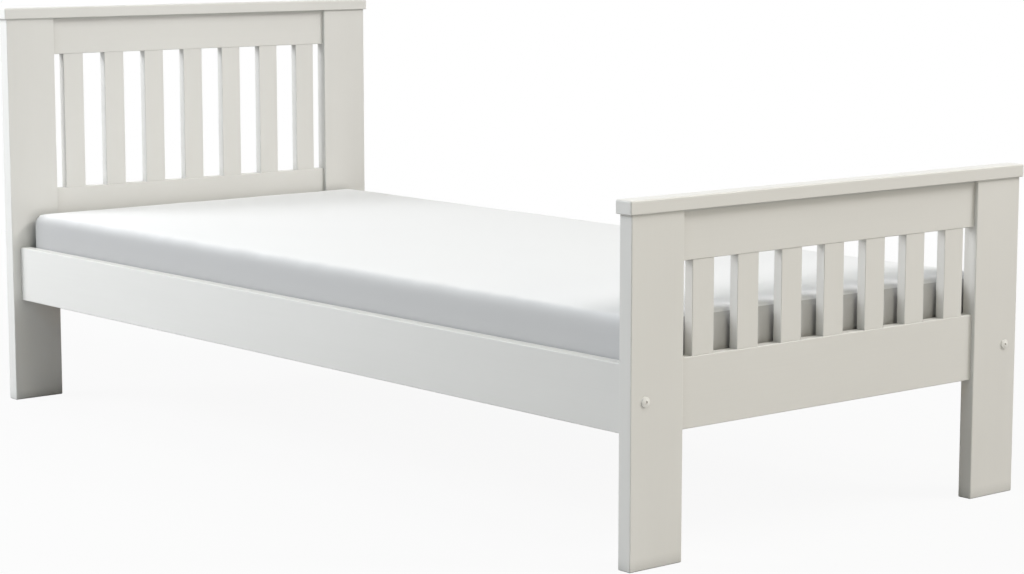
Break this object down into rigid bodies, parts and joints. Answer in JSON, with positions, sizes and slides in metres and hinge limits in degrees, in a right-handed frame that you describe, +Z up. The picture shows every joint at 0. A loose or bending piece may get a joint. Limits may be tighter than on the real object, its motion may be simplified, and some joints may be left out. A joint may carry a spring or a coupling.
{
  "type": "single bed",
  "caption": "Single bed in off-white painted wood, with a slatted headboard and a lower slatted footboard, side rails, a slatted base and a plain white mattress that lifts out.",
  "frame": {"origin": "on the floor, midway between the bed's sides and midway between its ends", "axes": "+X from the left side to the right side seen from the foot, +Y from the foot to the head, +Z up"},
  "size_m": [1.004, 2.099, 0.886],
  "materials": {
    "painted_wood": "satin off-white paint over wood",
    "pine": "planed bare pine",
    "beech": "turned bare beech",
    "mattress_cover": "plain white knitted cover",
    "cream_enamel": "cream enamel on steel",
    "zinc_plate": "bright zinc plate"
  },
  "bodies": {
    "bed_frame": {"barrel_nuts": "zinc_plate", "bed_slat_01": "pine", "bed_slat_02": "pine", "bed_slat_03": "pine", "bed_slat_04": "pine", "bed_slat_05": "pine", "bed_slat_06": "pine", "bed_slat_07": "pine", "bed_slat_08": "pine", "bed_slat_09": "pine", "bed_slat_10": "pine", "bed_slat_11": "pine", "bed_slat_12": "pine", "bed_slat_13": "pine", "bed_slat_14": "pine", "connector_bolts": "cream_enamel", "footboard_bottom_rail": "painted_wood", "footboard_cap": "painted_wood", "footboard_leg_left": "painted_wood", "footboard_leg_right": "painted_wood", "footboard_slat_1": "painted_wood", "footboard_slat_2": "painted_wood", "footboard_slat_3": "painted_wood", "footboard_slat_4": "painted_wood", "footboard_slat_5": "painted_wood", "footboard_slat_6": "painted_wood", "footboard_slat_7": "painted_wood", "footboard_top_rail": "painted_wood", "headboard_bottom_rail": "painted_wood", "headboard_cap": "painted_wood", "headboard_leg_left": "painted_wood", "headboard_leg_right": "painted_wood", "headboard_slat_1": "painted_wood", "headboard_slat_2": "painted_wood", "headboard_slat_3": "painted_wood", "headboard_slat_4": "painted_wood", "headboard_slat_5": "painted_wood", "headboard_slat_6": "painted_wood", "headboard_slat_7": "painted_wood", "headboard_top_rail": "painted_wood", "side_rail_dowels": "beech", "side_rail_left": "painted_wood", "side_rail_right": "painted_wood", "slat_ledger_left": "painted_wood", "slat_ledger_right": "painted_wood"},
    "mattress": {"mattress": "mattress_cover"}
  },
  "joints": [
    {"name": "mattress_lift", "type": "slide", "parent": "bed_frame", "child": "mattress", "axis": [0, 0, 1], "range_m": [0, 0.65]}
  ]
}
